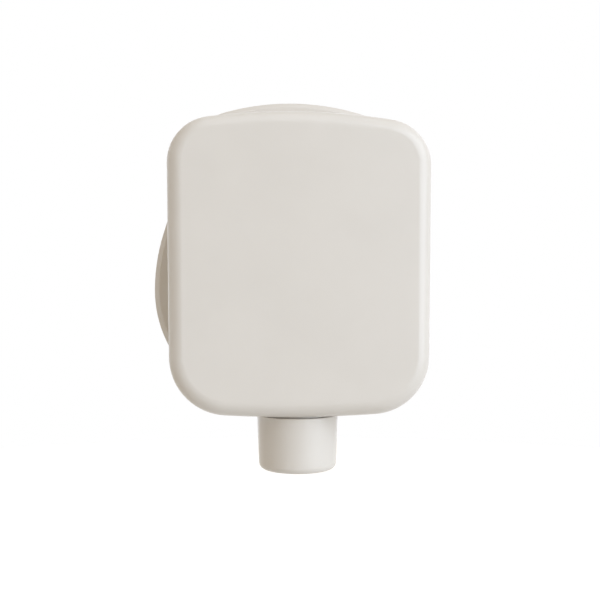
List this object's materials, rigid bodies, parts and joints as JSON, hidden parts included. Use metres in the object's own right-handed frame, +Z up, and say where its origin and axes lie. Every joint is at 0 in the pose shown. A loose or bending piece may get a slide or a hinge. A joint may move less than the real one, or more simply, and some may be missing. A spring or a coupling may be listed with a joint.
{
  "type": "three-pin plug top",
  "caption": "Ivory moulded mains plug with round brass pins, a rounded back cover over a wider flange, and a round cord collar at its foot.",
  "frame": {"origin": "on the engagement face, midway between the line and neutral pins", "axes": "+Y along the pins into the socket, +Z up towards the earth pin, +X across towards the line pin"},
  "size_m": [0.0498, 0.0421, 0.0641],
  "materials": {
    "shell": "gloss, ivory",
    "pins": "turned and polished",
    "screws": "bright zinc plate",
    "clamp": "satin, ivory"
  },
  "bodies": {
    "root": {"rear_cover": "shell", "pin_base": "shell", "earth_pin": "pins", "line_pin": "pins", "neutral_pin": "pins", "earth_terminal_screw": "screws", "pole_terminal_screws": "screws", "cord_clamp": "clamp", "clamp_screws": "screws", "cover_screw": "screws", "cover_nut": "screws"}
  },
  "joints": []
}
